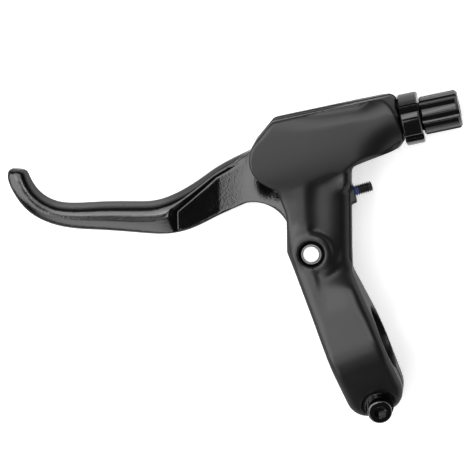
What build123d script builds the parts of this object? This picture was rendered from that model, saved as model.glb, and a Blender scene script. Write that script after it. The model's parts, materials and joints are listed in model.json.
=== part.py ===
"""Linear-pull bicycle brake lever for a 22.2 mm flat handlebar.

Millimetres. The origin is the centre of the bar clamp, +X runs along the bar toward the
cable, +Y points from the bar out to the lever, and +Z is the axis that the lever turns on.
"""

import os
from math import acos, asin, atan2, cos, degrees, hypot, radians, sin

from build123d import *

# Bar clamp
BAR_D = 22.2
CLAMP_FIT = 0.1
CLAMP_WALL = 3.6
ARM_WIDTH = 20.0
SPLIT_ANGLE = 12.0
SPLIT_GAP = 2.0
SPLIT_LIFT = 2.6
EAR_R = 10.0
EAR_CENTRE = 15.4
EAR_LIFT = 1.3
EAR_CORNER = 8.5

# Clamp bolt, an M5 socket head screw on a plain washer
BOLT_OFFSET = 19.5
BOLT_D = 5.0
BOLT_FIT = 0.25
BOLT_HEAD_D = 8.5
BOLT_HEAD = 5.0
BOLT_HEX = 4.0
BOLT_SEAT = 9.8
BOLT_ROOM = 1.2
BOLT_SOCKET = 2.6
BOLT_END = 8.0
WASHER_D = 10.0
WASHER = 1.0

# Pivot, and the two planes that the rest is drawn on
PIVOT_X = -1.7
PIVOT_Y = 37.2
REST_ANGLE = 21.5
CABLE_ANGLE = 9.7
CABLE_ARM = 38.2
NOSE_REACH = 39.5

# Neck and its shallow channel
WAIST = 1.2
WAIST_START = 8.0
WAIST_END = 26.0
NECK_LEFT = 8.7
NECK_RIGHT = 13.7
NECK_THICK = 14.0
NECK_TOP = 27.0
NECK_Y = 36.0
EDGE_ROUND = 2.6
CHANNEL_LEFT = 0.5
CHANNEL_RIGHT = 9.2
CHANNEL_DEPTH = 1.4
CHANNEL_DRAFT = 50.0
CHANNEL_LOW = 17.0
CHANNEL_TAIL = 2.0
CHANNEL_FLOOR = 1.6

# Housing that carries the cable
HOUSING_THICK = 17.6
HOUSING_CROWN = 85.0
CROWN_LINE = -3.0
HOUSING_ROUND = 0.7
HOUSING_TOP = 9.6
HOUSING_LENGTH = 43.0
HOUSING_POINT = 59.6
HOUSING_HEEL = 45.0
HOUSING_DROP = 15.8
POINT_DROP = 3.7
POINT_ROUND = 10.0
HEEL_ROUND = 6.0
CORNER_ROUND = 1.0
NOSE_BREAK = 0.5
NOSE_R = 8.1
NOSE_LIFT = 0.8
NOSE_CHIN = 0.7

# Slot between the two cheeks, where the lever swings
LEVER_THICK = 8.0
CHEEK_GAP = 0.35
SLOT_RIGHT = 8.6
SLOT_BELOW = 8.2
CABLE_SLOT = 2.4
FUNNEL = 9.0

# Pivot bolt, ring nut and flanged bushes
PIVOT_D = 6.0
PIVOT_FIT = 0.05
PIVOT_HEAD_D = 7.9
PIVOT_HEAD = 1.6
PIVOT_SINK = 1.9
PIVOT_HEX = 4.0
PIVOT_SOCKET = 2.4
PIVOT_END = 0.15
SINK_ROOM = 0.45
SINK_BREAK = 0.45
BOSS_R = 6.6
BOSS_PROUD = 0.6
BOSS_DRAFT = 35.0
BOSS_BASE = 2.0
BUSH_WALL = 1.0
BUSH_FLANGE_R = 6.6
BUSH_FLANGE = 0.3
BUSH_GAP = 0.4
PRESS_CLEAR = 0.02

# Lever
LEVER_BOSS_R = 7.0
EYE_R = 6.6
STROKE = 24.0
BELLY = 0.6
SHANK_DRAFT = 50.0
SHANK_BREAK = 0.2
TIP_ROUND = 1.8
ANCHOR_RISE = 0.4
ANCHOR_R = 5.0
ANCHOR_FIT = 0.06
NIPPLE_D = 7.2
NIPPLE_LENGTH = 6.2

# Return spring
WIRE_D = 0.8
SPRING_R = 5.15
SPRING_TURNS = 2.25
SPRING_ROOM = 0.15
SPRING_LEG = 9.0
COIL_PITCH = 1.09
LEG_SEAT = 1.6
LEG_BEND = 12.0

# Barrel adjuster and its lock ring
THREAD_D = 9.8
THREAD_CLEAR = 0.1
THREAD_DEPTH = 13.0
THREAD_END = 1.0
RING_D = 18.2
RING_WIDTH = 6.6
RING_NOTCHES = 5
RING_NOTCH = 3.2
RING_NOTCH_DEPTH = 1.4
NOTCH_START = 60.0
SEAT_GAP = 0.4
BARREL_D = 13.2
BARREL_LENGTH = 13.2
BARREL_FLUTES = 6
FLUTE_R = 2.2
FLUTE_DEPTH = 0.8
FLUTE_START = 36.0
HOUSING_SOCKET_D = 6.2
HOUSING_SOCKET = 9.0

# Reach screw
REACH_V = 20.7
REACH_ANGLE = 16.0
REACH_D = 4.0
REACH_FIT = 0.08
REACH_BOSS = 0.9
REACH_BOSS_R = 4.2
REACH_OUT = 7.3
REACH_GAP = 0.3
REACH_HEX = 2.0
REACH_SOCKET = 2.5


def heading(angle):
    return Vector(cos(radians(angle)), sin(radians(angle)), 0)


pivot = Vector(PIVOT_X, PIVOT_Y, 0)
lever_plane = Plane(origin=pivot, x_dir=heading(-REST_ANGLE), z_dir=(0, 0, 1))
cable_way = heading(-CABLE_ANGLE)
cable_up = heading(90 - CABLE_ANGLE)
nose_end = pivot + cable_up * CABLE_ARM + cable_way * NOSE_REACH
cable_plane = Plane(origin=nose_end, x_dir=cable_way, z_dir=(0, 0, 1))
barrel_plane = Plane(origin=nose_end, x_dir=cable_up, z_dir=cable_way)
cable_axis = Axis(nose_end, cable_way)
nose_plane = Plane(origin=nose_end + cable_up * NOSE_LIFT, x_dir=cable_way, z_dir=(0, 0, 1))

ear_way = Vector(0, -cos(radians(SPLIT_ANGLE)), -sin(radians(SPLIT_ANGLE)))
bolt_way = Vector(0, -sin(radians(SPLIT_ANGLE)), cos(radians(SPLIT_ANGLE)))
bolt_plane = Plane(origin=ear_way * BOLT_OFFSET, x_dir=(1, 0, 0), z_dir=bolt_way)
split_plane = Plane(origin=(0, 0, 0), x_dir=(1, 0, 0), z_dir=bolt_way)
ear_centre = ear_way * EAR_CENTRE + bolt_way * EAR_LIFT

bore_r = BAR_D / 2 + CLAMP_FIT
ring_r = bore_r + CLAMP_WALL
arm_half = ARM_WIDTH / 2
neck_half = NECK_THICK / 2
housing_half = HOUSING_THICK / 2
lever_half = LEVER_THICK / 2
slot_half = lever_half + CHEEK_GAP
shank_foot = lever_half - SHANK_BREAK
floor_half = neck_half - CHANNEL_DEPTH
boss_half = neck_half + BOSS_PROUD
sink_r = PIVOT_HEAD_D / 2 + SINK_ROOM
sink_floor = boss_half - PIVOT_SINK
bush_r = PIVOT_D / 2 + BUSH_WALL
coil_rise = WIRE_D * COIL_PITCH * SPRING_TURNS
coil_low = WIRE_D / 2 + SPRING_ROOM - lever_half
pocket_depth = coil_rise + WIRE_D + 2 * SPRING_ROOM
far = 90.0


def on_lever(u, v):
    return lever_plane.from_local_coords(Vector(u, v, 0))


def on_cable(t, n):
    return cable_plane.from_local_coords(Vector(t, n, 0))


def tapered_link(start, start_r, end, end_r):
    """Two discs in the open sketch, joined by their outer tangents."""
    run = (end[0] - start[0], end[1] - start[1])
    lean = degrees(atan2(run[1], run[0]))
    spread = degrees(acos((start_r - end_r) / hypot(*run)))
    left, right = heading(lean + spread), heading(lean - spread)
    corners = [
        (start[0] + start_r * left.X, start[1] + start_r * left.Y),
        (start[0] + start_r * right.X, start[1] + start_r * right.Y),
        (end[0] + end_r * right.X, end[1] + end_r * right.Y),
        (end[0] + end_r * left.X, end[1] + end_r * left.Y),
    ]
    Polygon(*corners, align=None)
    with Locations(start):
        Circle(start_r)
    with Locations(end):
        Circle(end_r)


reach_plane = Plane(
    origin=on_lever(NECK_RIGHT, REACH_V),
    x_dir=(0, 0, 1),
    z_dir=heading(REACH_ANGLE - REST_ANGLE),
)
anchor_angle = 90 - CABLE_ANGLE + REST_ANGLE - STROKE / 2
anchor = heading(anchor_angle) * (CABLE_ARM + ANCHOR_RISE)
anchor_plane = Plane(origin=on_lever(anchor.X, anchor.Y), x_dir=cable_way, z_dir=(0, 0, 1))

# Blade stations from tip to root: upper edge, lower edge, half width, half foot, crease height
BLADE = (
    ((-99.0, 28.6), (-104.9, 29.2), 3.2, 2.5, 0.42),
    ((-98.2, 26.2), (-105.5, 25.8), 3.9, 3.0, 0.42),
    ((-96.6, 23.2), (-103.9, 21.5), 4.4, 3.3, 0.42),
    ((-93.4, 19.8), (-99.0, 14.9), 4.8, 3.6, 0.42),
    ((-88.0, 17.4), (-90.5, 10.2), 5.0, 3.8, 0.42),
    ((-73.5, 17.4), (-74.5, 8.1), 5.2, 3.9, 0.42),
    ((-60.0, 17.5), (-60.0, 7.1), 5.2, 3.9, 0.44),
    ((-53.4, 18.1), (-50.5, 6.7), 5.2, shank_foot, 0.50),
    ((-46.0, 21.0), (-42.0, 8.5), 5.1, shank_foot, 0.62),
    ((-37.7, 26.2), (-33.2, 12.7), 4.8, shank_foot, 0.80),
    ((-29.3, 31.6), (-24.0, 16.9), 4.3, shank_foot, 0.90),
    ((-17.0, 37.6), (-13.0, 22.5), lever_half - SHANK_BREAK / 2, shank_foot, 0.94),
)

# Crease where the blade ends and the flat shank starts, from the lower edge round to the eye
CREASE = ((-47.5, 0.0), (-47.9, 14.6), (-33.3, 26.4), (-14.0, 37.4))

# Housing, drawn along the cable line and rounded into a nose for the barrel
with BuildPart() as housing:
    with BuildSketch(cable_plane):
        with BuildLine():
            FilletPolyline(
                (NOSE_R, NOSE_LIFT - NOSE_R),
                (NOSE_R, HOUSING_TOP),
                (-HOUSING_LENGTH, HOUSING_TOP),
                (-HOUSING_POINT, -POINT_DROP),
                (-HOUSING_HEEL, -HOUSING_DROP),
                radius=(0, 0, CORNER_ROUND, POINT_ROUND, HEEL_ROUND),
                close=True,
            )
        make_face()
    extrude(amount=housing_half, both=True)
    with BuildSketch(barrel_plane):
        with Locations((CROWN_LINE, housing_half - HOUSING_CROWN)):
            Circle(HOUSING_CROWN)
        with Locations((CROWN_LINE, HOUSING_CROWN - housing_half)):
            Circle(HOUSING_CROWN, mode=Mode.INTERSECT)
    extrude(amount=far, both=True, mode=Mode.INTERSECT)
    rim = housing.edges().filter_by(lambda e: cable_plane.to_local_coords(e.center()).X < 0)
    fillet(rim.filter_by(Axis.Z, reverse=True), HOUSING_ROUND)
    with BuildSketch(nose_plane):
        with BuildLine():
            Line((-far, 0), (0, 0))
            Line((0, 0), (0, NOSE_R - NOSE_BREAK))
            Line((0, NOSE_R - NOSE_BREAK), (-NOSE_BREAK, NOSE_R))
            Spline((-NOSE_BREAK, NOSE_R), (-3, NOSE_R + 2.0), (-8, NOSE_R + 3.6), (-20, NOSE_R + 6.5))
            Line((-20, NOSE_R + 6.5), (-far, NOSE_R + 60))
            Line((-far, NOSE_R + 60), (-far, 0))
        make_face()
    revolve(axis=Axis(nose_plane.origin, cable_way), mode=Mode.INTERSECT)

# Channel down the face of the neck, with drafted walls, running out on the arm
arm_lean = asin((ring_r - neck_half) / NECK_Y)
run_out = (neck_half + (NECK_Y - CHANNEL_LOW) * sin(arm_lean)) / cos(arm_lean)
with BuildPart() as channel:
    with BuildSketch(Plane.XY.offset(floor_half)):
        with BuildLine():
            FilletPolyline(
                on_lever(CHANNEL_LEFT, NECK_TOP),
                on_lever(CHANNEL_LEFT, 0),
                (CHANNEL_TAIL, CHANNEL_LOW),
                (CHANNEL_TAIL + 3, CHANNEL_LOW),
                on_lever(CHANNEL_RIGHT, 0),
                on_lever(CHANNEL_RIGHT, NECK_TOP),
                radius=(0, 4, 1.4, 1.4, 10, 0),
                close=True,
            )
        make_face()
    extrude(amount=run_out - floor_half, taper=-CHANNEL_DRAFT)
    fillet(channel.edges().group_by(Axis.Z)[0], CHANNEL_FLOOR)
    with BuildSketch(Plane.YZ):
        with BuildLine():
            Polyline(
                (far, floor_half),
                (NECK_Y, floor_half),
                (CHANNEL_LOW, run_out),
                (CHANNEL_LOW - 9, ring_r + 2),
                (far, ring_r + 2),
                close=True,
            )
        make_face()
    extrude(amount=far, both=True, mode=Mode.INTERSECT)

# Bracket: clamp, arm, neck and housing cast as one
with BuildPart() as bracket_body:
    with BuildSketch(Plane.YZ):
        tapered_link((0, 0), ring_r, (ear_centre.Y, ear_centre.Z), EAR_R)
        tapered_link((0, 0), ring_r, (NECK_Y, 0), neck_half)
        with Locations((NECK_Y, 0)):
            Rectangle(far, NECK_THICK, align=(Align.MIN, Align.CENTER))
    extrude(amount=far, both=True)
    with BuildSketch(Plane.XY):
        with BuildLine():
            FilletPolyline(
                (-arm_half, -ring_r - EAR_R),
                (arm_half, -ring_r - EAR_R),
                (arm_half, WAIST_START),
                (arm_half - WAIST, WAIST_END),
                on_lever(NECK_RIGHT, 1.5),
                on_lever(NECK_RIGHT, 30.4),
                on_cable(-8, NOSE_LIFT - NOSE_R - NOSE_CHIN),
                on_cable(-12, 0),
                on_lever(-14, NECK_TOP),
                on_lever(-NECK_LEFT, 13),
                on_lever(-NECK_LEFT, 0.2),
                radius=(EAR_CORNER, EAR_CORNER, 20, 6, 9, 6, 0, 0, 0, 10, 5),
                close=True,
            )
        make_face()
    extrude(amount=far, both=True, mode=Mode.INTERSECT)
    soft = bracket_body.edges().filter_by(Axis.Z, reverse=True).filter_by(Axis.X, reverse=True)
    fillet(soft.filter_by_position(Axis.Y, -far, on_lever(NECK_RIGHT, NECK_TOP).Y + 6), EDGE_ROUND)
    add(channel.part, mode=Mode.SUBTRACT)
    add(housing.part)
    for face in (1, -1):
        with BuildSketch(lever_plane.offset(face * boss_half)):
            Circle(BOSS_R)
        extrude(amount=-face * BOSS_BASE, taper=-BOSS_DRAFT)
    boss_rims = bracket_body.edges().filter_by(GeomType.CIRCLE).filter_by(
        lambda e: abs(e.radius - BOSS_R) < 0.01 and abs(abs(e.center().Z) - boss_half) < 0.01
    )
    fillet(boss_rims, 0.5)

    # Low boss for the reach screw on the neck's edge
    with BuildSketch(reach_plane):
        Circle(REACH_BOSS_R)
    extrude(amount=REACH_BOSS)
    with BuildSketch(reach_plane):
        Circle(REACH_BOSS_R)
    extrude(amount=SLOT_RIGHT - NECK_RIGHT)

    # Slot for the lever, the bolt through both cheeks and a sink at each end of it
    with BuildSketch(lever_plane):
        with BuildLine():
            FilletPolyline(
                (-far, far),
                (-far, -SLOT_BELOW),
                (SLOT_RIGHT, -SLOT_BELOW),
                (SLOT_RIGHT, far),
                radius=(0, 0, 3, 0),
                close=True,
            )
        make_face()
    extrude(amount=slot_half, both=True, mode=Mode.SUBTRACT)
    with BuildSketch(lever_plane):
        Circle(PIVOT_D / 2 + PIVOT_FIT)
    extrude(amount=far, both=True, mode=Mode.SUBTRACT)
    for face in (1, -1):
        with BuildSketch(lever_plane.offset(face * (boss_half - PIVOT_SINK))):
            Circle(sink_r)
        extrude(amount=face * far, mode=Mode.SUBTRACT)
        with BuildSketch(lever_plane.offset(face * boss_half)):
            Circle(sink_r + SINK_BREAK)
        extrude(amount=-face * SINK_BREAK, taper=45, mode=Mode.SUBTRACT)

    # Threaded nose, cable hole and the slot that lets the cable in from above
    with BuildSketch(barrel_plane):
        Circle(THREAD_D / 2 + THREAD_CLEAR)
    extrude(amount=-THREAD_DEPTH, mode=Mode.SUBTRACT)
    with BuildSketch(cable_plane):
        with Locations((-far / 2, 0)):
            Rectangle(far, 2 * HOUSING_TOP + 1, align=(Align.CENTER, Align.MIN))
    extrude(amount=CABLE_SLOT / 2, both=True, mode=Mode.SUBTRACT)
    with BuildSketch(Plane(origin=nose_end, x_dir=cable_way, z_dir=cable_up)):
        with BuildLine():
            Polyline(
                (-THREAD_DEPTH, -CABLE_SLOT / 2),
                (-THREAD_DEPTH, CABLE_SLOT / 2),
                (-THREAD_DEPTH - FUNNEL, slot_half),
                (-THREAD_DEPTH - FUNNEL, -slot_half),
                close=True,
            )
        make_face()
    extrude(amount=2 * HOUSING_TOP, mode=Mode.SUBTRACT)

    # Reach screw thread, and the seat for the return spring's fixed leg
    with BuildSketch(reach_plane):
        Circle(REACH_D / 2 + REACH_FIT)
    extrude(amount=NECK_RIGHT, both=True, mode=Mode.SUBTRACT)
    leg_origin = lever_plane.from_local_coords(Vector(0, -SPRING_R, coil_low))
    with BuildSketch(Plane(origin=leg_origin, z_dir=lever_plane.x_dir)):
        Circle(WIRE_D / 2 + SPRING_ROOM)
    extrude(amount=SLOT_RIGHT + LEG_SEAT + SPRING_ROOM, mode=Mode.SUBTRACT)

    # Bar bore, the split and the clamp bolt's holes
    with BuildSketch(Plane.YZ):
        Circle(bore_r)
    extrude(amount=far, both=True, mode=Mode.SUBTRACT)
    with BuildSketch(split_plane.offset(SPLIT_LIFT)):
        Rectangle(far, far, align=(Align.CENTER, Align.MAX))
    extrude(amount=SPLIT_GAP / 2, both=True, mode=Mode.SUBTRACT)
    with BuildSketch(bolt_plane):
        Circle(BOLT_D / 2 + BOLT_FIT)
    extrude(amount=far, both=True, mode=Mode.SUBTRACT)
    with BuildSketch(bolt_plane.offset(BOLT_SEAT)):
        Circle(WASHER_D / 2 + BOLT_ROOM)
    extrude(amount=far, mode=Mode.SUBTRACT)
bracket_body.part.label = "bracket_body"

# Lever: a forged blade lofted along its edges, then the web that swings in the bracket
with BuildPart() as lever_blade:
    for upper, lower, half, foot, crease in BLADE:
        rise = on_lever(*upper) - on_lever(*lower)
        height = rise.length
        break_at = crease * height
        crown = height - break_at
        across = Plane(origin=on_lever(*lower), x_dir=rise, z_dir=rise.cross(Vector(0, 0, 1)))
        with BuildSketch(across):
            with BuildLine():
                Bezier((0, foot), (-BELLY, foot / 2), (-BELLY, -foot / 2), (0, -foot))
                Line((0, -foot), (break_at, -half))
                Bezier((break_at, -half), (break_at + 0.55 * crown, -half), (height, -0.55 * half), (height, 0))
                Bezier((height, 0), (height, 0.55 * half), (break_at + 0.55 * crown, half), (break_at, half))
                Line((break_at, half), (0, foot))
            make_face()
    loft()
    tip = lever_blade.faces().filter_by(GeomType.PLANE).sort_by(Axis.X)[0]
    fillet(tip.edges(), TIP_ROUND)
    for face in (1, -1):
        with BuildSketch(lever_plane.offset(face * lever_half)):
            Polygon(*CREASE, (0, 0), align=None)
        extrude(amount=face * lever_half, taper=-SHANK_DRAFT, mode=Mode.SUBTRACT)
    with BuildSketch(lever_plane):
        tapered_link((0, 0), LEVER_BOSS_R, (anchor.X, anchor.Y), EYE_R)
        with BuildLine():
            FilletPolyline(
                (-28, 15.3),
                (-9.6, 23.8),
                (-6.6, 1.0),
                (2, 1.0),
                (anchor.X, anchor.Y),
                (anchor.X - 2, anchor.Y + EYE_R * 0.9),
                (-19, 36.6),
                (-26, 32.6),
                radius=(0, 13, 0, 0, 0, 0, 8, 0),
                close=True,
            )
        make_face()
    extrude(amount=lever_half, both=True)

    # Bush bore, then a pocket for the spring with a groove for each of its legs
    with BuildSketch(lever_plane):
        Circle(bush_r + PRESS_CLEAR)
    extrude(amount=far, both=True, mode=Mode.SUBTRACT)
    with BuildSketch(lever_plane.offset(-lever_half)):
        Circle(SPRING_R + WIRE_D / 2 + SPRING_ROOM)
        with Locations(Location((-SPRING_R, 0, 0), (0, 0, -LEG_BEND))):
            Rectangle(
                WIRE_D + 2 * SPRING_ROOM,
                SPRING_LEG + SPRING_ROOM,
                align=(Align.CENTER, Align.MIN),
            )
    extrude(amount=pocket_depth, mode=Mode.SUBTRACT)
    with BuildSketch(lever_plane.offset(-lever_half)):
        with Locations((-WIRE_D, WIRE_D / 2 + SPRING_ROOM - SPRING_R)):
            Rectangle(far, far, align=(Align.MIN, Align.MAX))
    extrude(amount=WIRE_D + 2 * SPRING_ROOM, mode=Mode.SUBTRACT)

    # Eye for the cable anchor, open toward the cable so that the nipple drops in
    with BuildSketch(anchor_plane):
        Circle(ANCHOR_R + ANCHOR_FIT)
    extrude(amount=far, both=True, mode=Mode.SUBTRACT)
    with BuildSketch(anchor_plane):
        with BuildLine():
            Polyline(
                (-NIPPLE_D / 2, 0),
                (0, 0),
                heading(-1.5 * STROKE) * far,
                heading(45 - STROKE / 2) * far,
                (-NIPPLE_D / 2, far),
                close=True,
            )
        make_face()
    extrude(amount=NIPPLE_LENGTH / 2, both=True, mode=Mode.SUBTRACT)
lever_blade.part.label = "lever_blade"

# Swivelling anchor that holds the cable's nipple
with BuildPart() as cable_anchor:
    with BuildSketch(anchor_plane):
        Circle(ANCHOR_R)
    extrude(amount=lever_half - ANCHOR_FIT, both=True)
    chamfer(cable_anchor.edges().filter_by(GeomType.CIRCLE), 0.4)
    with BuildSketch(anchor_plane):
        Circle(NIPPLE_D / 2)
        Rectangle(NIPPLE_D, far, align=(Align.CENTER, Align.MIN))
    extrude(amount=NIPPLE_LENGTH / 2, both=True, mode=Mode.SUBTRACT)
    with BuildSketch(anchor_plane):
        with Locations((0, -CABLE_SLOT / 2)):
            Rectangle(far, far, align=(Align.MIN, Align.MIN))
    extrude(amount=CABLE_SLOT / 2, both=True, mode=Mode.SUBTRACT)
cable_anchor.part.label = "cable_anchor"

# Pivot bolt, put in from the back, with its plain end in a ring nut at the front
with BuildPart() as pivot_bolt:
    with BuildSketch(lever_plane.offset(-sink_floor)):
        Circle(PIVOT_D / 2)
    extrude(amount=sink_floor + boss_half - PIVOT_END)
    chamfer(pivot_bolt.edges().sort_by(Axis.Z)[-1], 0.3)
    with BuildSketch(lever_plane.offset(-sink_floor)):
        Circle(PIVOT_HEAD_D / 2)
    extrude(amount=-PIVOT_HEAD)
    chamfer(pivot_bolt.edges().sort_by(Axis.Z)[0], 0.4)
    with BuildSketch(lever_plane.offset(-sink_floor - PIVOT_HEAD)):
        RegularPolygon(PIVOT_HEX / 2, 6, major_radius=False)
    extrude(amount=PIVOT_SOCKET, mode=Mode.SUBTRACT)
pivot_bolt.part.label = "pivot_bolt"

with BuildPart() as pivot_nut:
    with BuildSketch(lever_plane.offset(sink_floor)):
        Circle(PIVOT_HEAD_D / 2)
        Circle(PIVOT_D / 2 + PRESS_CLEAR, mode=Mode.SUBTRACT)
    extrude(amount=PIVOT_HEAD)
    chamfer(pivot_nut.edges().group_by(Axis.Z)[-1].sort_by(SortBy.LENGTH)[-1], 0.5)
pivot_nut.part.label = "pivot_nut"

bushes = []
for face, side in ((1, "front"), (-1, "rear")):
    with BuildPart() as pivot_bush:
        with BuildSketch(lever_plane.offset(face * BUSH_GAP / 2)):
            Circle(bush_r)
            Circle(PIVOT_D / 2 + PIVOT_FIT, mode=Mode.SUBTRACT)
        extrude(amount=face * (lever_half - BUSH_GAP / 2))
        with BuildSketch(lever_plane.offset(face * lever_half)):
            Circle(BUSH_FLANGE_R)
            Circle(PIVOT_D / 2 + PIVOT_FIT, mode=Mode.SUBTRACT)
        extrude(amount=face * BUSH_FLANGE)
    pivot_bush.part.label = "pivot_bush_" + side
    bushes.append(pivot_bush)

# Return spring: a coil round the rear bush, one leg in the lever and one in the bracket
coil_start = Plane(
    origin=lever_plane.from_local_coords(Vector(0, 0, coil_low)),
    x_dir=-lever_plane.y_dir,
    z_dir=(0, 0, 1),
)
coil = coil_start.location * Helix(WIRE_D * COIL_PITCH, coil_rise, SPRING_R, lefthand=True)
legs = (
    (coil @ 0, lever_plane.x_dir, SLOT_RIGHT + LEG_SEAT),
    (coil @ 1, heading(90 - LEG_BEND - REST_ANGLE), SPRING_LEG),
)
with BuildPart() as return_spring:
    with BuildSketch(Plane(origin=coil @ 0, z_dir=coil % 0)):
        Circle(WIRE_D / 2)
    sweep(path=coil, is_frenet=True)
    for start, way, reach in legs:
        with BuildSketch(Plane(origin=start, z_dir=way)):
            Circle(WIRE_D / 2)
        extrude(amount=reach)
return_spring.part.label = "return_spring"

# Barrel adjuster, turned, with flutes round its grip and a slot for the cable
ring_start = SEAT_GAP
barrel_start = ring_start + RING_WIDTH + SEAT_GAP
barrel_end = barrel_start + BARREL_LENGTH
thread_r = THREAD_D / 2
barrel_r = BARREL_D / 2
with BuildPart() as barrel_adjuster:
    with BuildSketch(cable_plane):
        with BuildLine():
            Polyline(
                (THREAD_END - THREAD_DEPTH, 0),
                (THREAD_END - THREAD_DEPTH, thread_r - 0.8),
                (THREAD_END - THREAD_DEPTH + 0.8, thread_r),
                (barrel_start, thread_r),
                (barrel_start, barrel_r - 0.5),
                (barrel_start + 0.5, barrel_r),
                (barrel_end - 0.9, barrel_r),
                (barrel_end, barrel_r - 0.9),
                (barrel_end, 0),
                close=True,
            )
        make_face()
    revolve(axis=cable_axis)
    with BuildSketch(barrel_plane.offset(barrel_start)):
        with PolarLocations(barrel_r - FLUTE_DEPTH + FLUTE_R, BARREL_FLUTES, start_angle=FLUTE_START):
            Circle(FLUTE_R)
    extrude(amount=BARREL_LENGTH, mode=Mode.SUBTRACT)
    with BuildSketch(barrel_plane):
        Circle(CABLE_SLOT / 2)
    extrude(amount=far, both=True, mode=Mode.SUBTRACT)
    with BuildSketch(barrel_plane.offset(barrel_end)):
        Circle(HOUSING_SOCKET_D / 2)
    extrude(amount=-HOUSING_SOCKET, mode=Mode.SUBTRACT)
    with BuildSketch(barrel_plane):
        Rectangle(far, CABLE_SLOT, align=(Align.MIN, Align.CENTER))
    extrude(amount=far, both=True, mode=Mode.SUBTRACT)
barrel_adjuster.part.label = "barrel_adjuster"

with BuildPart() as lock_ring:
    with BuildSketch(barrel_plane.offset(ring_start)):
        Circle(RING_D / 2)
    extrude(amount=RING_WIDTH)
    chamfer(lock_ring.edges().filter_by(GeomType.CIRCLE), 0.5)
    with BuildSketch(barrel_plane.offset(ring_start)):
        with PolarLocations(RING_D / 2, RING_NOTCHES, start_angle=NOTCH_START):
            Rectangle(2 * RING_NOTCH_DEPTH, RING_NOTCH)
        Circle(thread_r + THREAD_CLEAR)
        Rectangle(far, CABLE_SLOT, align=(Align.MIN, Align.CENTER))
    extrude(amount=RING_WIDTH, mode=Mode.SUBTRACT)
lock_ring.part.label = "lock_ring"

# Reach screw, a grub screw that sets how far out the lever rests
reach_in = (NECK_RIGHT - LEVER_BOSS_R) / cos(radians(REACH_ANGLE)) - REACH_GAP
reach_in -= REACH_D / 2 * sin(radians(REACH_ANGLE))
with BuildPart() as reach_screw:
    with BuildSketch(reach_plane.offset(-reach_in)):
        Circle(REACH_D / 2)
    extrude(amount=reach_in + REACH_OUT)
    chamfer(reach_screw.edges().filter_by(GeomType.CIRCLE), 0.4)
    with BuildSketch(reach_plane.offset(REACH_OUT)):
        RegularPolygon(REACH_HEX / 2, 6, major_radius=False)
    extrude(amount=-REACH_SOCKET, mode=Mode.SUBTRACT)
reach_screw.part.label = "reach_screw"

# Clamp bolt and washer
with BuildPart() as clamp_bolt:
    with BuildSketch(bolt_plane.offset(-BOLT_END)):
        Circle(BOLT_D / 2)
    extrude(amount=BOLT_END + BOLT_SEAT + WASHER)
    with BuildSketch(bolt_plane.offset(BOLT_SEAT + WASHER)):
        Circle(BOLT_HEAD_D / 2)
    extrude(amount=BOLT_HEAD)
    head_rim = clamp_bolt.edges().filter_by(GeomType.CIRCLE).sort_by(Axis((0, 0, 0), bolt_way))[-1]
    fillet(head_rim, 0.7)
    with BuildSketch(bolt_plane.offset(BOLT_SEAT + WASHER + BOLT_HEAD)):
        RegularPolygon(BOLT_HEX / 2, 6, major_radius=False)
    extrude(amount=-BOLT_SOCKET, mode=Mode.SUBTRACT)
clamp_bolt.part.label = "clamp_bolt"

with BuildPart() as clamp_washer:
    with BuildSketch(bolt_plane.offset(BOLT_SEAT)):
        Circle(WASHER_D / 2)
        Circle(BOLT_D / 2 + BOLT_FIT, mode=Mode.SUBTRACT)
    extrude(amount=WASHER)
clamp_washer.part.label = "clamp_washer"

os.makedirs("parts", exist_ok=True)
pieces = [bracket_body, lever_blade, cable_anchor, pivot_bolt, pivot_nut, *bushes, return_spring]
pieces += [barrel_adjuster, lock_ring, reach_screw, clamp_bolt, clamp_washer]
for piece in pieces:
    export_step(piece.part, "parts/" + piece.part.label + ".step")
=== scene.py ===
# %% [markdown]
# # A bicycle brake lever in a white studio
# The shapes of this lever come from a CAD model that is already packed, one object for each piece. This
# file gives those pieces their finishes and fine detail, lights them and sets the camera. It could also
# rebuild every shape in Blender, but then the looks and the solids would drift apart.

# %% Load the solids
import json
import math

import bmesh
import bpy
from mathutils import Matrix, Vector


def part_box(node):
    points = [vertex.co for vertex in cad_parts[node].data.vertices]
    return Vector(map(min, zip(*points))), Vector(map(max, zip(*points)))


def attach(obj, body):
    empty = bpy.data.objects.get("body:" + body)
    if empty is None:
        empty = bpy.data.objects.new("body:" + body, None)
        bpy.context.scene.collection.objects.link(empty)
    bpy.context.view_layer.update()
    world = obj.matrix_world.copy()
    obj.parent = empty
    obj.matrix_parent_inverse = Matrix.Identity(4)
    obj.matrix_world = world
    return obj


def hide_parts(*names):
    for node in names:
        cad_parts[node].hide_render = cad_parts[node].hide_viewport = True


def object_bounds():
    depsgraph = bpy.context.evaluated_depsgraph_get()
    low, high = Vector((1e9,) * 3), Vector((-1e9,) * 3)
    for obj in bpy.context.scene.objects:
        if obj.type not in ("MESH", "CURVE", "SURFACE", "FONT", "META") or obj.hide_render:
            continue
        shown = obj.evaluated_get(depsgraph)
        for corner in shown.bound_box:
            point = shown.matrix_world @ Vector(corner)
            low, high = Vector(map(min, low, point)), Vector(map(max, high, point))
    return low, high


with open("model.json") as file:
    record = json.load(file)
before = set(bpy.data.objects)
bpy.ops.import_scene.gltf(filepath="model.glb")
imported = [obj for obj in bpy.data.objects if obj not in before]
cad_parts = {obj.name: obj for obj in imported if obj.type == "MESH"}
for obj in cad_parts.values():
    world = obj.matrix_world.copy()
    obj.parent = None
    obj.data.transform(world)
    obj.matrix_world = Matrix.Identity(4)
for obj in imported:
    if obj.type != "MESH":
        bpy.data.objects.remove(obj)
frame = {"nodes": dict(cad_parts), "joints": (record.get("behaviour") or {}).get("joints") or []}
nodes = frame["nodes"]
joints = {joint["name"]: joint for joint in frame["joints"]}
cad_low, cad_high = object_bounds()
MM = 0.001
print("pieces:", len(nodes), "size in mm:", [round(side / MM, 1) for side in cad_high - cad_low])

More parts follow.
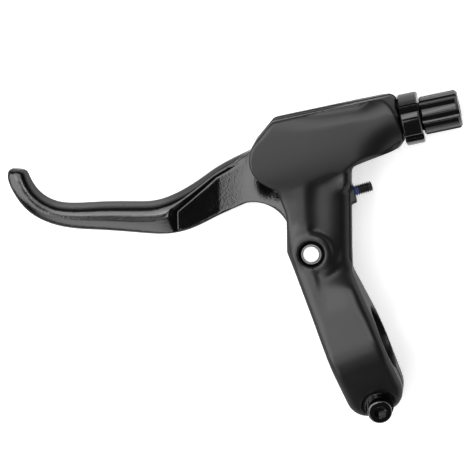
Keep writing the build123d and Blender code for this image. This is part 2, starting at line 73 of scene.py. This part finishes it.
# %% [markdown]
# ## The camera
# The photograph looks almost straight down the lever's pivot, a little from the cable's side and from
# the blade's side, and the bar's axis climbs to the right. A long lens from a metre away keeps parallel
# edges parallel, as they are there. The camera's three axes are written as the columns of its matrix,
# because a track-to constraint would lose the turn about the line of sight.

# %% The photograph's directions
UP = Vector((0.0, 0.0, 1.0))
photo_centre = Vector((-24.36, 51.32, 0.0)) * MM
line_of_sight = Vector((0.144, 0.130, 1.0)).normalized()
photo_turn = math.radians(21.5)
lever_right = Vector((math.cos(photo_turn), -math.sin(photo_turn), 0.0))
lever_up = UP.cross(lever_right)


def squared(way, axis):
    return (way - way.dot(axis) * axis).normalized()


def facing(right, away, distance):
    turn = Matrix((right, away.cross(right), away)).transposed().to_4x4()
    return Matrix.Translation(photo_centre + away * distance) @ turn


photo_right = squared(lever_right, line_of_sight)
print("line of sight:", [round(share, 3) for share in line_of_sight])

# %% Camera
PHOTO_SIDE = 474
PIXELS_PER_MM = 2.88
CAMERA_DISTANCE = 1.1

camera = bpy.data.objects.new("camera", bpy.data.cameras.new("camera"))
bpy.context.scene.collection.objects.link(camera)
bpy.context.scene.camera = camera
camera.matrix_world = facing(photo_right, line_of_sight, CAMERA_DISTANCE)
camera.data.angle = 2 * math.atan(PHOTO_SIDE / PIXELS_PER_MM * MM / 2 / CAMERA_DISTANCE)
camera.data.dof.use_dof = False
bpy.context.scene.view_settings.view_transform = "Standard"
print("lens in mm:", round(camera.data.lens, 1))

# %% [markdown]
# ## Sums on shader sockets
# A finish is a small graph of nodes, and most of it is arithmetic. Each Math node could be added and
# linked by hand, but then a mask of five nodes fills a page. So one class stands for a socket and turns
# Python's operators into Math nodes, and a mask reads as the sum that it is. A second class holds the
# graph and makes every other kind of node with one method.


# %% A socket that can be added and multiplied
class Level:
    def __init__(self, graph, socket):
        self.graph = graph
        self.socket = socket

    def maths(self, operation, *terms):
        return self.graph.node("ShaderNodeMath", {"operation": operation}, dict(enumerate(terms)))

    def __add__(self, other):
        return self.maths("ADD", self, other)

    def __radd__(self, other):
        return self.maths("ADD", other, self)

    def __sub__(self, other):
        return self.maths("SUBTRACT", self, other)

    def __rsub__(self, other):
        return self.maths("SUBTRACT", other, self)

    def __mul__(self, other):
        return self.maths("MULTIPLY", self, other)

    def __rmul__(self, other):
        return self.maths("MULTIPLY", other, self)

    def __truediv__(self, other):
        return self.maths("DIVIDE", self, other)

    def wave(self):
        return self.maths("PINGPONG", self, 0.5) * 2

    def rise(self, start, end):
        span = {"From Min": start, "From Max": end, "Value": self}
        return self.graph.node("ShaderNodeMapRange", {"interpolation_type": "SMOOTHSTEP"}, span)


print("sockets can be added, subtracted, multiplied and divided")


# %% A graph that nodes are added to
class Graph:
    def __init__(self, tree):
        self.tree = tree

    def node(self, kind, settings, sockets, output=0):
        made = self.tree.nodes.new(kind)
        for name, value in settings.items():
            if name == "stops":
                for stop, (where, colour) in zip(made.color_ramp.elements, value):
                    stop.position, stop.color = where, colour
            else:
                setattr(made, name, value)
        for name, value in sockets.items():
            self.plug(made.inputs[name], value)
        return Level(self, made.outputs[output])

    def plug(self, socket, value):
        if isinstance(value, Level):
            self.tree.links.new(value.socket, socket)
        else:
            socket.default_value = value


print("graphs take nodes and links")

# %% [markdown]
# A finish is a graph that ends in a surface. Its noises and distances all start from the object's own
# coordinates, so the finish stays on the piece when the piece moves. A Mix node has sockets for values,
# vectors and colours under the same names, so its colour sockets are found by number.

# %% A finish for a surface
MIX_FACTOR, MIX_FIRST, MIX_SECOND, MIX_RESULT = 0, 6, 7, 2
EDGE_SAMPLES = 8


class Finish(Graph):
    def __init__(self, name):
        self.material = bpy.data.materials.new(name)
        self.material.use_nodes = True
        super().__init__(self.material.node_tree)
        self.surface = self.tree.nodes["Principled BSDF"]
        self.spot = self.node("ShaderNodeTexCoord", {}, {}, "Object")

    def give(self, sockets):
        for name, value in sockets.items():
            self.plug(self.surface.inputs[name], value)

    def noise(self, size_mm, detail=2.0):
        scale = {"Vector": self.spot, "Scale": 1 / (size_mm * MM), "Detail": detail}
        return self.node("ShaderNodeTexNoise", {}, scale, "Fac")

    def blend(self, factor, first, second):
        colours = {MIX_FACTOR: factor, MIX_FIRST: first, MIX_SECOND: second}
        return self.node("ShaderNodeMix", {"data_type": "RGBA"}, colours, MIX_RESULT)

    def along(self, origin, way):
        offset = self.node("ShaderNodeVectorMath", {"operation": "SUBTRACT"}, {0: self.spot, 1: origin})
        return self.node("ShaderNodeVectorMath", {"operation": "DOT_PRODUCT"}, {0: offset, 1: way}, "Value")

    def relief(self, height, depth_mm, edge_mm=0.0):
        bump = {"Height": height, "Distance": depth_mm * MM}
        if edge_mm:
            edge = {"Radius": edge_mm * MM}
            bump["Normal"] = self.node("ShaderNodeBevel", {"samples": EDGE_SAMPLES}, edge)
        return self.node("ShaderNodeBump", {}, bump)


def grey(level, warmth=1.0):
    return (level * warmth, level, level / warmth, 1.0)


print("finishes can be mixed")

# %% [markdown]
# ## Soft skins for castings and forgings
# The mould, the forge and the coat leave no crisp edge, and the faces flow into each other. A bevel on
# each edge could give that, but the edges meet in corners that a bevel can't turn. So a copy of the
# solid is skinned with small voxels and smoothed. A weight for each point says how strongly: fully on
# the outer faces, and hardly at all in slots and bores, which have to keep their size.
#
# The weights go by a point's place in mm: right, up and out from the pivot as the photograph shows
# them, back from the nose along the cable and above it, and how far it is from the anchor's eye, the
# bar and the middle plane.

# %% Where a point is, in mm
pivot = Vector(joints["lever_pull"]["pos_m"])
nose = Vector(joints["ring_turn"]["pos_m"])
cable_way = Vector(joints["ring_turn"]["axis"])
cable_up = UP.cross(cable_way)
eye = Vector(joints["anchor_swivel"]["pos_m"])


class Place:
    def __init__(self, spot):
        off_pivot = (spot - pivot) / MM
        self.right = off_pivot.dot(lever_right)
        self.up = off_pivot.dot(lever_up)
        self.out = off_pivot.xy.length
        off_nose = (spot - nose) / MM
        self.back = -off_nose.dot(cable_way)
        self.above = off_nose.dot(cable_up)
        self.from_eye = ((spot - eye) / MM).xy.length
        self.from_bar = spot.y / MM
        self.from_middle = abs(spot.z) / MM


print("nose from the pivot in mm:", round(Place(nose).right, 1), "right,", round(Place(nose).up, 1), "up")


# %% Soft steps
def ease(value, start, end):
    share = min(1.0, max(0.0, (value - start) / (end - start)))
    return share * share * (3 - 2 * share)


def between(value, rise, fall):
    return ease(value, *rise) * (1 - ease(value, *fall))


print("a quarter of the way, a soft step is at", ease(0.25, 0.0, 1.0))


# %% Skin, press and smooth a copy of a solid
def settle(piece):
    shown = piece.evaluated_get(bpy.context.evaluated_depsgraph_get())
    mesh = bpy.data.meshes.new_from_object(shown)
    piece.modifiers.clear()
    piece.data = mesh


def skinned(node, name, voxel_mm):
    piece = bpy.data.objects.new(name, nodes[node].data.copy())
    bpy.context.scene.collection.objects.link(piece)
    skin = piece.modifiers.new("skin", "REMESH")
    skin.mode = "VOXEL"
    skin.voxel_size = voxel_mm * MM
    settle(piece)
    return piece


def press(spot, limit_mm, share=1.0):
    over = max(0.0, abs(spot.z) - limit_mm * MM)
    spot.z -= math.copysign(over * share, spot.z)


def smoothed(piece, weigh, times, sideways=True):
    softness = piece.vertex_groups.new(name="softness")
    for corner in piece.data.vertices:
        softness.add([corner.index], weigh(Place(corner.co)), "REPLACE")
    smooth = piece.modifiers.new("smooth", "SMOOTH")
    smooth.vertex_group = softness.name
    smooth.factor = 0.5
    smooth.iterations = times
    smooth.use_x = smooth.use_y = sideways
    settle(piece)
    piece.data.shade_smooth()
    print("smoothed:", piece.name, "times:", times)


print("soft skins ready")

# %% [markdown]
# ## The cast bracket
# The bracket is an aluminium casting, and some of its forms are softer than the solid has them. The
# housing's face bends more and more toward the round nose, and falls off toward its upper brim. On the
# neck, the right edge rolls over below the channel's floor, and the rib beside the channel is a low
# swell. All this could be sculpted, but strokes of a brush can't be repeated when a size changes. So
# each form is a limit on how far the skin may stand from the middle plane. The copy can only lose
# thickness and stays inside the solid's box.

# %% The housing's face
HOUSING_HALF = 8.6
NOSE_CREST = 2.8
NOSE_BEND = (0.0, 17.0)
NOSE_CURVE, FLAT_CURVE = 1 / 10.5, 1 / 60
NOSE_LEAST, LEAST_GAIN = 4.6, 2.2
LEAST_RISE = (4.0, 14.0)
BRIM_START, BRIM_CURVE = 3.0, 0.045
BRIM_RISE, BRIM_FALL = (2.0, 14.0), (18.0, 46.0)


def housing_limit(place):
    flat = ease(place.back, *NOSE_BEND)
    curve = NOSE_CURVE + (FLAT_CURVE - NOSE_CURVE) * flat
    over = place.above - NOSE_CREST * (1 - flat)
    least = NOSE_LEAST + LEAST_GAIN * ease(place.back, *LEAST_RISE)
    brim_share = between(place.back, BRIM_RISE, BRIM_FALL)
    brim = BRIM_CURVE * max(0.0, place.above - BRIM_START) ** 2 * brim_share
    return max(least, HOUSING_HALF - over * over * curve / 2 - brim)


print("half the housing at the nose in mm:", round(housing_limit(Place(nose)), 2))

# %% The neck's right edge
FLOOR_HALF = 5.6
BOSS_EDGE = (8.0, 10.5)
NECK_FOOT, NECK_TOP = (-12.0, -2.0), (20.0, 25.0)
FLANGE_EDGE = (3.0, 6.0)
ARM_TOP, ARM_SLANT = -2.0, 0.444
ROLL_FOOT = (-36.0, -22.0)
ROLL_EDGE, ROLL_WIDTH, ROLL_MOST = 6.3, 7.4, 0.95
ROLL_DEPTH, ROLL_GAIN = 2.3, 3.3
ROLL_RISE = (-14.0, -2.0)


def flange_share(place):
    along_neck = between(place.up, NECK_FOOT, NECK_TOP)
    return along_neck * ease(place.out, *BOSS_EDGE) * ease(place.right, *FLANGE_EDGE)


def roll_over(place):
    inward = place.right - ARM_SLANT * max(0.0, ARM_TOP - place.up)
    along_edge = between(place.up, ROLL_FOOT, NECK_TOP) * ease(place.out, *BOSS_EDGE)
    depth = ROLL_DEPTH + ROLL_GAIN * ease(place.up, *ROLL_RISE)
    turn = min(ROLL_MOST, max(0.0, inward - ROLL_EDGE) / ROLL_WIDTH)
    return depth * along_edge * (1 - math.sqrt(1 - turn * turn))


print("the edge rolls over by mm, at most:", ROLL_DEPTH + ROLL_GAIN)

# %% The rib beside the channel
RIB_HALF = 7.0
LEFT_FALL_FROM, LEFT_SLOPE = 0.5, 0.12
RIGHT_FALL_FROM, RIGHT_BEND = -3.0, 0.12
RIB_BOSS = (8.5, 12.0)
RIB_FOOT, RIB_TOP = (0.0, 8.0), (18.0, 24.0)


def rib_limit(place):
    left_fall = LEFT_SLOPE * max(0.0, LEFT_FALL_FROM - place.right)
    right_fall = RIGHT_BEND * max(0.0, place.right - RIGHT_FALL_FROM) ** 2
    return max(FLOOR_HALF, RIB_HALF - (left_fall + right_fall))


def rib_share(place):
    return ease(place.out, *RIB_BOSS) * between(place.up, RIB_FOOT, RIB_TOP)


print("the rib stands over the channel's floor by mm:", round(RIB_HALF - FLOOR_HALF, 1))

# %% [markdown]
# The skin is smoothed twice. The first pass rounds all outer edges, but hardly the slot, the pivot's
# sink, the nose's end and the bar clamp, and the housing less than the rest. The second is for the
# channel alone, whose walls run out into its floor.

# %% How soft the casting is
OUTER_FACE = (4.8, 5.6)
SINK_EDGE = (5.0, 6.4)
NOSE_END = (0.6, 3.0)
CLAMP_END = (8.0, 16.0)
HOUSING_EDGE, HOUSING_FIRMNESS = (-13.0, -6.0), 0.65
CASTING_LEAST = 0.08
CHANNEL_LEFT, CHANNEL_RIGHT = (-6.0, -2.0), (9.0, 12.0)
CHANNEL_FOOT, CHANNEL_TOP = (3.0, 8.0), (26.0, 31.0)
CHANNEL_BOSS = (8.5, 11.0)


def casting_weight(place):
    outer = ease(place.from_middle, *OUTER_FACE) * ease(place.out, *SINK_EDGE)
    free = ease(place.back, *NOSE_END) * ease(place.from_bar, *CLAMP_END)
    soft = 1 - HOUSING_FIRMNESS * ease(place.above, *HOUSING_EDGE)
    return CASTING_LEAST + (1 - CASTING_LEAST) * outer * free * soft


def channel_weight(place):
    across = between(place.right, CHANNEL_LEFT, CHANNEL_RIGHT)
    along = between(place.up, CHANNEL_FOOT, CHANNEL_TOP)
    return across * along * ease(place.out, *CHANNEL_BOSS) * ease(place.from_middle, *OUTER_FACE)


print("softness at the pivot:", casting_weight(Place(pivot)))

# %% Press and smooth the casting
HOUSING_LOW, HOUSING_NEAR = -16.0, 40.0
EDGE_LEAST = 2.4

casting = skinned("bracket_body", "soft_bracket", voxel_mm=0.5)
for corner in casting.data.vertices:
    place = Place(corner.co)
    if place.above > HOUSING_LOW and place.from_bar > HOUSING_NEAR:
        press(corner.co, housing_limit(place))
    press(corner.co, FLOOR_HALF, flange_share(place))
    press(corner.co, max(EDGE_LEAST, abs(corner.co.z) / MM - roll_over(place)))
    press(corner.co, rib_limit(place), rib_share(place))
smoothed(casting, casting_weight, times=40)
smoothed(casting, channel_weight, times=60)
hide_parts("bracket_body")
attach(casting, "bracket")
print("casting faces:", len(casting.data.polygons))

# %% [markdown]
# The coat is satin black, with a fine pebble and a mottled sheen where it went on thicker. The pebble
# and the mottle are two noises of different size: the small one lifts the surface, the large one
# changes its gloss. Plain black paint would mirror the white table along every edge, as a pale line,
# but the photograph's edges are dark. So the coat is mostly a very dark metal, whose Specular Tint
# takes the mirror down near the edges.

# %% Satin black coat
satin = Finish("satin_black_coat")
pebble = satin.noise(0.35)
mottle = satin.noise(7.0, 3.0)
satin.give({
    "Base Color": satin.blend(mottle, grey(0.037), grey(0.043)),
    "Metallic": 0.88,
    "Roughness": 0.28 + 0.08 * mottle + 0.04 * pebble,
    "Specular Tint": grey(0.5),
    "Normal": satin.relief(pebble, depth_mm=0.004),
})
casting.data.materials.clear()
casting.data.materials.append(satin.material)
print("bracket dressed")

# %% [markdown]
# ## The forged lever
# The lever is a forging, so it gets a soft skin as well, with finer voxels that keep the crease of its
# shank. Where the shank runs under the housing its face is dished, and toward the blade the face falls
# a little. Both could be cut into the solid, but they are so shallow that only reflections show them,
# so they are sunk into the copy. In the end the blade is smoothed once more, in height alone: its back
# gets as round as a finger wants it, and its outline stays.

# %% The shank's face
DISH_DEPTH, DISH_SPAN = 1.0, 6.0
DISH_RIGHT, DISH_UP = -11.1, 24.3
CREASE_RIGHT, CREASE_UP = -47.9, 14.6
CREASE_ACROSS_RIGHT, CREASE_ACROSS_UP = 0.629, -0.778
CREASE_END = -47.7
SHANK_FALL, FALL_START = 0.035, -31.9
FALL_EDGE = (0.2, 0.8)


def below_crease(place):
    from_right, from_up = place.right - CREASE_RIGHT, place.up - CREASE_UP
    upper = CREASE_ACROSS_RIGHT * from_right + CREASE_ACROSS_UP * from_up
    return min(upper, place.right - CREASE_END)


def sunk(place):
    away = math.hypot(place.right - DISH_RIGHT, place.up - DISH_UP)
    dish = DISH_DEPTH * math.exp(-(away / DISH_SPAN) ** 2)
    fall = SHANK_FALL * max(0.0, FALL_START - place.right)
    return dish + fall * ease(below_crease(place), *FALL_EDGE)


print("depth of the dish in mm:", DISH_DEPTH)

# %% How soft the forging is
BOSS_RIM, EYE_RIM = (9.0, 12.0), (7.0, 9.0)
FORGING_LEAST = 0.06
BLADE_END = (-58.0, -50.0)


def forging_weight(place):
    free = ease(place.out, *BOSS_RIM) * ease(place.from_eye, *EYE_RIM)
    return FORGING_LEAST + (1 - FORGING_LEAST) * free


def blade_weight(place):
    return 1 - ease(place.right, *BLADE_END)


print("softness at the pivot:", forging_weight(Place(pivot)))

# %% [markdown]
# In places the solid's face lies a few tenths of a millimetre low. What lies just under the shank's
# face is first lifted level with it, so that reflections run across it without a dent.

# %% Press and smooth the forging
SHANK_HALF = 4.0
LOW_MOST = 0.3
LIFT_RIGHT = -24.0
LIFT_EDGE = (1.5, 2.5)
FACE_LEAST = 3.0

forging = skinned("lever_blade", "soft_lever", voxel_mm=0.33)
for corner in forging.data.vertices:
    place = Place(corner.co)
    low = SHANK_HALF - place.from_middle
    if 0.0 < low < LOW_MOST and place.right < LIFT_RIGHT:
        lift = low * ease(below_crease(place), *LIFT_EDGE)
        corner.co.z += math.copysign(lift * MM, corner.co.z)
    if abs(corner.co.z) > FACE_LEAST * MM:
        corner.co.z -= math.copysign(sunk(place) * MM, corner.co.z)
smoothed(forging, forging_weight, times=9)
smoothed(forging, blade_weight, times=80, sideways=False)
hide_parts("lever_blade")
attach(forging, "lever")
print("forging faces:", len(forging.data.polygons))

# %% [markdown]
# Its coat is a dark metal too, glossier than the bracket's. Over the grip its colour is lifted to a
# lighter grey, a painted sheen that makes the blade's highlight brighter. The forged skin shows through
# as a slight orange peel that breaks up the edges of each reflection. A painted mask could say where the
# grip is, but the distance from the pivot says it as well and needs no picture.

# %% Gloss black coat
BLADE_EDGE = (-54.0 * MM, -46.0 * MM)
GRIP_SHEEN_START = (-96.0 * MM, -84.0 * MM)

gloss = Finish("gloss_black_coat")
peel = gloss.noise(0.6, 3.0)
drift = gloss.noise(14.0)
rightward = gloss.along(pivot, lever_right)
blade = 1 - rightward.rise(*BLADE_EDGE)
# painted sheen: this mask marks the part of the blade whose coat is lifted to brighten its highlight
grip_sheen = blade * rightward.rise(*GRIP_SHEEN_START)
coat = gloss.blend(drift, grey(0.052), grey(0.056))
gloss.give({
    # painted sheen: over the grip the coat's grey is raised from about 0.054 to 0.085
    "Base Color": gloss.blend(grip_sheen, coat, grey(0.085)),
    "Metallic": 1.0,
    "Roughness": 0.04 + 0.09 * blade + 0.04 * drift + 0.05 * peel,
    "Specular Tint": grey(0.5),
    "Normal": gloss.relief(peel + blade * peel, depth_mm=0.02),
})
forging.data.materials.clear()
forging.data.materials.append(gloss.material)
print("lever dressed")

# %% [markdown]
# ## The barrel adjuster and its lock ring
# Both are moulded in shiny black resin, smoother than the coats on the metal. The barrel's stem carries
# a thread. It hides in the nose until the barrel is screwed out, so a bump that winds round the stem is
# enough: the height goes up and down once for each turn, and a mask keeps it off the grip.


# %% A thread in relief
def wound(finish, origin, way, pitch):
    side = squared(UP, way)
    over, across = finish.along(origin, side), finish.along(origin, way.cross(side))
    turned = over.maths("ARCTAN2", over, across) / (2 * math.pi)
    out = over.maths("SQRT", over * over + across * across)
    return (finish.along(origin, way) / pitch + turned).wave(), out


print("threads can be wound")

# %% Moulded black resin
STEM_PITCH = 1.0 * MM
STEM_EDGE = (4.90 * MM, 4.96 * MM)

resin = Finish("moulded_black_resin")
flow = resin.noise(5.0)
stem_thread, stem_out = wound(resin, nose, cable_way, STEM_PITCH)
on_stem = 1 - stem_out.rise(*STEM_EDGE)
resin.give({
    "Base Color": resin.blend(flow, grey(0.002), grey(0.005, 1.06)),
    "Roughness": 0.04 + 0.05 * flow,
    "Normal": resin.relief(0.01 * flow + on_stem * stem_thread, depth_mm=0.5, edge_mm=0.25),
})
nodes["barrel_adjuster"].data.materials[0] = resin.material
nodes["lock_ring"].data.materials[0] = resin.material
print("adjuster dressed")

# %% [markdown]
# ## Steel, nylon and brass
# The pivot's bolt is zinc plated and bright, its nut and the screws are blackened, and what hides
# inside the slot is plain nylon, spring wire and brass. Each could have a graph of its own, but at this
# size they differ only in colour, gloss and grain, so one function makes all five.

# %% Small metal and plastic pieces
GRAIN_SHEEN = 0.12
WORN_EDGE = 0.15


def plain_finish(name, dark, light, metal, rough, grain_mm, depth_mm):
    finish = Finish(name)
    grain = finish.noise(grain_mm, 4.0)
    finish.give({
        "Base Color": finish.blend(grain, dark, light),
        "Metallic": metal,
        "Roughness": rough + GRAIN_SHEEN * grain,
        "Normal": finish.relief(grain, depth_mm, edge_mm=WORN_EDGE),
    })
    return finish.material


zinc = plain_finish(
    "bright_zinc", grey(0.45), grey(0.85), metal=1.0, rough=0.32, grain_mm=0.9, depth_mm=0.004
)
blackened = plain_finish(
    "blackened_steel", grey(0.06), grey(0.11), metal=1.0, rough=0.06, grain_mm=0.4, depth_mm=0.002
)
wire = plain_finish(
    "spring_wire", grey(0.38), grey(0.52), metal=1.0, rough=0.28, grain_mm=0.3, depth_mm=0.003
)
nylon = plain_finish(
    "natural_nylon", (0.66, 0.64, 0.58, 1.0), (0.76, 0.74, 0.68, 1.0),
    metal=0.0, rough=0.45, grain_mm=0.6, depth_mm=0.006,
)
brass = plain_finish(
    "turned_brass", (0.62, 0.45, 0.18, 1.0), (0.76, 0.58, 0.27, 1.0),
    metal=1.0, rough=0.26, grain_mm=0.4, depth_mm=0.003,
)
print("plain finishes: zinc, blackened steel, wire, nylon and brass")

# %% Dress the small pieces
worn_by = {
    "pivot_bolt": zinc, "pivot_nut": blackened, "clamp_bolt": blackened, "clamp_washer": blackened,
    "return_spring": wire, "pivot_bush_front": nylon, "pivot_bush_rear": nylon, "cable_anchor": brass,
}
for name, material in worn_by.items():
    nodes[name].data.materials[0] = material
print("small pieces dressed:", len(worn_by))

# %% [markdown]
# ## The reach screw
# This little grub screw stands out of the neck, and its thread shows against the white. A bump can't
# change an outline, so the thread is cut in mesh: rings of points follow the screw's length, and each
# point sits nearer to the axis or farther out by where it is on the winding. The outer end is pulled in
# to a chamfer, folded over to a hexagon and sunk for the key. The axis and the length come from the
# solid.

# %% Measure the solid screw
reach_way = Vector(joints["reach_travel"]["axis"])
reach_side = reach_way.cross(UP)
reach_low, reach_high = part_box("reach_screw")
reach_middle = (reach_low + reach_high) / 2
spans = [(corner.co - reach_middle).dot(reach_way) for corner in nodes["reach_screw"].data.vertices]
screw_start, screw_end = min(spans), max(spans)
screw_length = screw_end - screw_start
screw_r = (reach_high.z - reach_low.z) / 2
print("screw in mm:", round(screw_length / MM, 2), "long,", round(2 * screw_r / MM, 2), "across")

# %% Shape of the thread
PITCH = 0.8 * MM
THREAD_DEPTH = 0.6 * MM
FLANK_STEEPNESS, CREST_SHARE = 1.25, 0.1
CHAMFER = 0.45 * MM
KEY_FLAT = 1.0 * MM
HALF_SIXTH = math.pi / 6


def screw_point(length, radius, angle):
    spoke = math.cos(angle) * UP + math.sin(angle) * reach_side
    return reach_middle + length * reach_way + radius * spoke


def thread_radius(length, angle):
    turns = length / PITCH + angle / (2 * math.pi)
    flank = abs(2 * (turns % 1.0) - 1)
    groove = THREAD_DEPTH * min(1.0, max(0.0, FLANK_STEEPNESS * flank - CREST_SHARE))
    from_end = min(length - screw_start, screw_end - length)
    return min(screw_r - groove, screw_r - CHAMFER + from_end)


def key_radius(angle):
    return KEY_FLAT / math.cos((angle + HALF_SIXTH) % (2 * HALF_SIXTH) - HALF_SIXTH)


print("turns of thread:", round(screw_length / PITCH, 1))

# %% Rings along the screw
SIDES = 36
RINGS_PER_TURN = 8
KEY_DEPTH = 2.4 * MM

angles = [2 * math.pi * side / SIDES for side in range(SIDES)]
steps = round(screw_length / PITCH * RINGS_PER_TURN)
lengths = [screw_start + screw_length * step / steps for step in range(steps + 1)]
rings = [
    [screw_point(length, thread_radius(length, angle), angle) for angle in angles]
    for length in lengths
]
rings += [
    [screw_point(screw_end - depth, key_radius(angle), angle) for angle in angles]
    for depth in (0.0, KEY_DEPTH)
]
print("rings:", len(rings))

# %% Join the rings into a screw
SHARP_ANGLE = math.radians(32)

thread = bmesh.new()
loops = [[thread.verts.new(point) for point in ring] for ring in rings]
for lower, upper in zip(loops, loops[1:]):
    for side in range(SIDES):
        after = (side + 1) % SIDES
        thread.faces.new((lower[side], lower[after], upper[after], upper[side]))
thread.faces.new(loops[0])
thread.faces.new(loops[-1])
bmesh.ops.recalc_face_normals(thread, faces=thread.faces)
screw = bpy.data.objects.new("threaded_reach_screw", bpy.data.meshes.new("threaded_reach_screw"))
thread.to_mesh(screw.data)
thread.free()
screw.data.shade_smooth()
screw.data.set_sharp_from_angle(angle=SHARP_ANGLE)
bpy.context.scene.collection.objects.link(screw)
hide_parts("reach_screw")
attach(screw, "reach")
print("screw faces:", len(screw.data.polygons))

# %% [markdown]
# A ring of blue thread lock sits on the screw where it enters the neck. It could be a band of its own,
# but it only stains the thread, so it is a colour. It is dull and uneven: its end is moved to and fro
# by a noise, and the same mask changes the colour and the gloss.

# %% Blackened steel with thread lock
BARE_LENGTH = 4.3 * MM
LOCK_WANDER, LOCK_FADE = 1.2 * MM, 0.5 * MM

locked = Finish("blackened_steel_with_thread_lock")
smear = locked.noise(0.9, 3.0)
grain = locked.noise(0.4, 4.0)
bare_from = screw_end - BARE_LENGTH
wandering = locked.along(reach_middle, reach_way) + LOCK_WANDER * smear
bare = wandering.rise(bare_from, bare_from + LOCK_FADE)
steel = locked.blend(grain, grey(0.008), grey(0.02))
blue = locked.blend(smear, (0.03, 0.045, 0.14, 1.0), (0.07, 0.09, 0.22, 1.0))
locked.give({
    "Base Color": locked.blend(bare, blue, steel),
    "Roughness": 0.42 - 0.2 * bare + 0.1 * grain,
    "Normal": locked.relief(grain, depth_mm=0.01),
})
screw.data.materials.append(locked.material)
print("reach screw dressed")

# %% [markdown]
# ## Table and light
# The lever lies on a white table in a dim room with six softboxes. Black paint shows little of its own
# colour, so its form has to come from what it mirrors. Two softboxes light what leans toward the
# blade's outer edge, one what leans toward the bar, and a large one what leans to the left. A narrow
# one hangs where the level faces of the bracket mirror it, with its left side ending over the lever's
# shank, and a small one gives the barrel its lines. Area lamps do this better than a sun, because their
# edges fall differently along the part. The room is white down by the table and dark above it.

# %% White table
TABLE_HALF = 6.0
TABLE_GLOW = 0.6

table_height = cad_low.z
table_corners = [
    (across * TABLE_HALF, along * TABLE_HALF, table_height)
    for across, along in ((-1, -1), (1, -1), (1, 1), (-1, 1))
]
table = bpy.data.objects.new("table", bpy.data.meshes.new("table"))
table.data.from_pydata(table_corners, [], [range(len(table_corners))])
bpy.context.scene.collection.objects.link(table)
white = Finish("white_table")
seen = white.node("ShaderNodeLightPath", {}, {}, "Is Camera Ray")
mirrored = white.node("ShaderNodeLightPath", {}, {}, "Is Glossy Ray")
through = white.node("ShaderNodeLightPath", {}, {}, "Is Transmission Ray")
white.give({
    "Base Color": grey(0.8),
    "Roughness": 0.9,
    "Specular IOR Level": 0.0,
    "Emission Color": TABLE_GLOW * (seen + mirrored + through),
    "Emission Strength": 1.0,
})
table.data.materials.append(white.material)
print("table at mm:", round(table_height / MM, 2))

# %% Softboxes
STAND_DISTANCE = 0.8
flat_right = Vector((photo_right.x, photo_right.y, 0.0))
flat_up = UP.cross(flat_right)


def softbox(name, lean_up, lean_right, size, brightness, distance=STAND_DISTANCE):
    away = UP + math.tan(math.radians(lean_up)) * flat_up
    away += math.tan(math.radians(lean_right)) * flat_right
    away.normalize()
    width, height = size
    lamp = bpy.data.objects.new(name, bpy.data.lights.new(name, "AREA"))
    lamp.data.shape = "RECTANGLE"
    lamp.data.size, lamp.data.size_y = width, height
    lamp.data.energy = brightness * math.pi * width * height
    lamp.matrix_world = facing(squared(photo_right, away), away, distance)
    lamp.visible_camera = False
    bpy.context.scene.collection.objects.link(lamp)
    print(name, "watts:", round(lamp.data.energy, 2))


softbox("outer_softbox", lean_up=27.0, lean_right=-20.0, size=(0.45, 0.50), brightness=2.7)
softbox("far_softbox", lean_up=27.0, lean_right=8.0, size=(0.32, 0.42), brightness=2.4)
softbox("inner_softbox", lean_up=-46.0, lean_right=-22.0, size=(0.50, 0.40), brightness=1.8)
softbox("left_softbox", lean_up=-2.0, lean_right=-41.0, size=(0.75, 0.75), brightness=3.6)
softbox("level_softbox", lean_up=-9.3, lean_right=-0.7, size=(0.08, 0.25), brightness=3.6, distance=0.46)
softbox("barrel_softbox", lean_up=17.0, lean_right=9.0, size=(0.07, 0.05), brightness=9.0, distance=0.48)

# %% Dim room
WHITE_BELOW, DARK_ABOVE = 0.12, 0.35

room = bpy.data.worlds.new("dim_room")
bpy.context.scene.world = room
room.use_nodes = True
air = Graph(room.node_tree)
where = air.node("ShaderNodeTexCoord", {}, {}, "Generated")
height = air.node("ShaderNodeSeparateXYZ", {}, {0: where}, "Z")
stops = [(WHITE_BELOW, grey(1.0)), (DARK_ABOVE, grey(0.05))]
shade = air.node("ShaderNodeValToRGB", {"stops": stops}, {0: height})
air.plug(room.node_tree.nodes["Background"].inputs["Color"], shade)
print("room lit")
